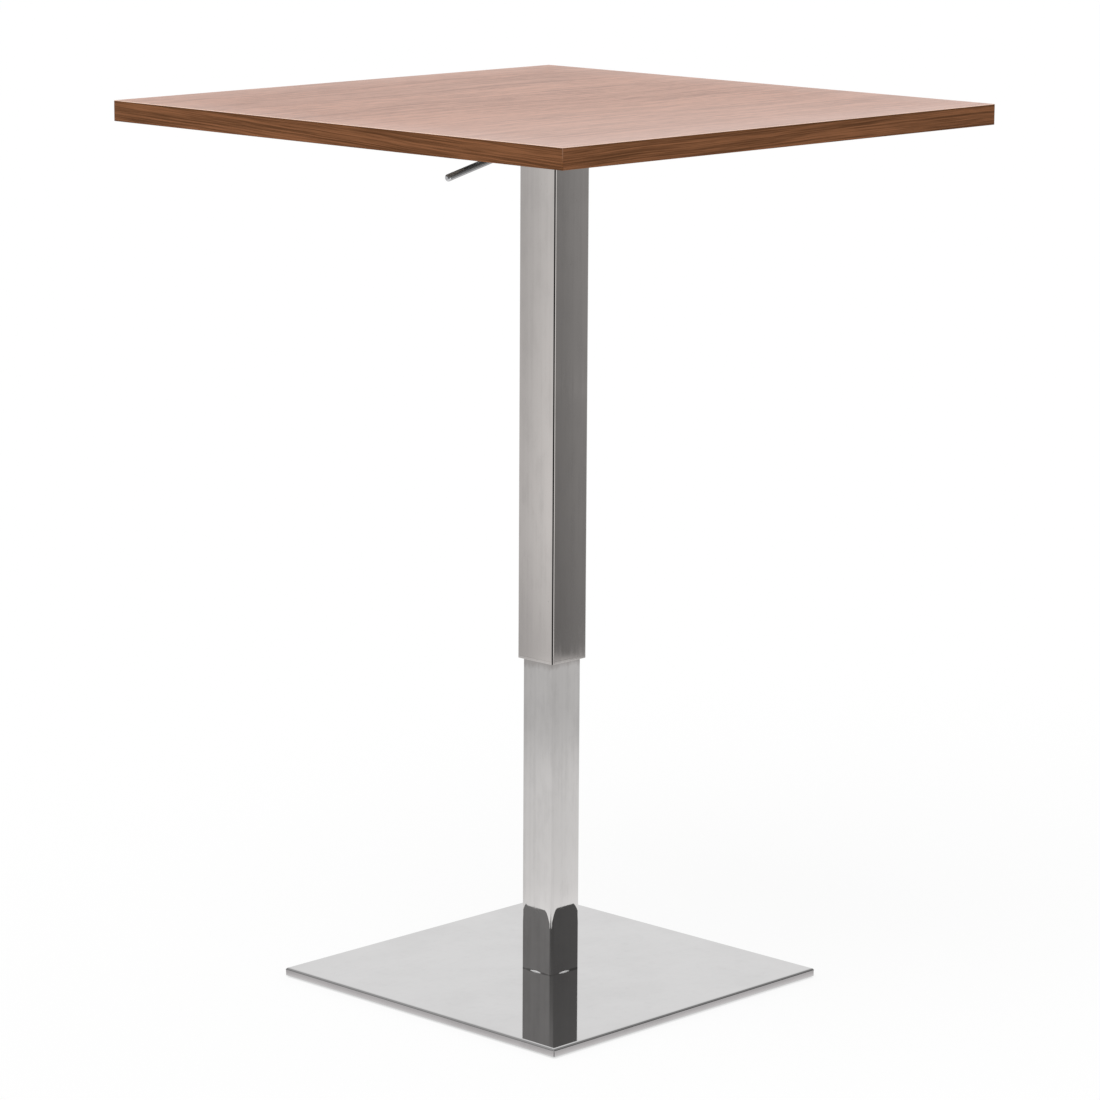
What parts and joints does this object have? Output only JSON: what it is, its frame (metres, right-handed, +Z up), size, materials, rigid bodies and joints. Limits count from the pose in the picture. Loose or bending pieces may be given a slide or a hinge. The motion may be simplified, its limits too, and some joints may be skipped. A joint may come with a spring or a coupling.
{
  "type": "telescoping pedestal table",
  "caption": "High square table: thin wood top on a square telescoping steel column with a gas spring, release lever and flat square base.",
  "frame": {"origin": "on the floor, under the middle of the column", "axes": "+Z up, -Y towards the tip of the release lever, +X to the right seen from the lever's side"},
  "size_m": [0.75, 0.75, 1.095],
  "materials": {
    "walnut_top": "satin walnut laminate, grain along Y",
    "walnut_edge": "satin walnut edge band, grain along the edge",
    "walnut_underside": "matt grey-brown balancing laminate",
    "board_core": "pressed wood fibre",
    "polished_steel": "polished stainless steel",
    "chromed_rod": "bright chrome plate",
    "plated_steel": "zinc plated",
    "black_steel": "black powder coat",
    "raw_steel": "rolled mill finish, oiled",
    "collar_plastic": "silver moulding, as bright as the sleeve",
    "guide_plastic": "black nylon",
    "piston_metal": "turned",
    "black_rubber": "moulded"
  },
  "bodies": {
    "base": {"foot_pads": "black_rubber", "ballast_plate": "black_steel", "base_cover": "polished_steel", "base_screws": "plated_steel", "foot_block": "raw_steel", "inner_tube": "polished_steel", "upper_guide_cap": "guide_plastic", "spring_pedestal": "raw_steel", "spring_seat": "raw_steel", "gas_cylinder": "black_steel", "cylinder_end_plug": "plated_steel", "rod_guide": "guide_plastic", "rod_wiper": "black_rubber"},
    "upper": {"table_top_core": "board_core", "top_laminate": "walnut_top", "underside_laminate": "walnut_underside", "edge_band_front": "walnut_edge", "edge_band_rear": "walnut_edge", "edge_band_left": "walnut_edge", "edge_band_right": "walnut_edge", "mounting_plate": "black_steel", "board_screws": "plated_steel", "plate_screws": "plated_steel", "head_block": "raw_steel", "sleeve_screws": "plated_steel", "pivot_pin": "plated_steel", "outer_tube": "polished_steel", "lower_guide_collar": "collar_plastic", "piston_rod": "chromed_rod", "piston": "piston_metal", "piston_ring": "guide_plastic", "rod_lock_nut": "plated_steel", "bump_stop": "black_rubber"},
    "lever": {"release_lever": "chromed_rod", "rocker": "plated_steel"},
    "release_pin": {"release_pin": "plated_steel"}
  },
  "joints": [
    {"name": "height_slide", "type": "slide", "parent": "base", "child": "upper", "axis": [0, 0, 1], "range_m": [-0.36, 0], "stiffness_N_per_m": 250, "springref_m": 1},
    {"name": "lever_pull", "type": "hinge", "parent": "upper", "child": "lever", "pos_m": [0, -0.014, 1.046], "axis": [-1, 0, 0], "range_deg": [0, 10], "stiffness_Nm_per_rad": 8, "springref_deg": -11.46},
    {"name": "release_pin_press", "type": "slide", "parent": "upper", "child": "release_pin", "axis": [0, 0, -1], "range_m": [0, 0.0025]}
  ],
  "couplings": [
    {"joint": "release_pin_press", "follows": "lever_pull", "m_per_rad": 0.014}
  ]
}
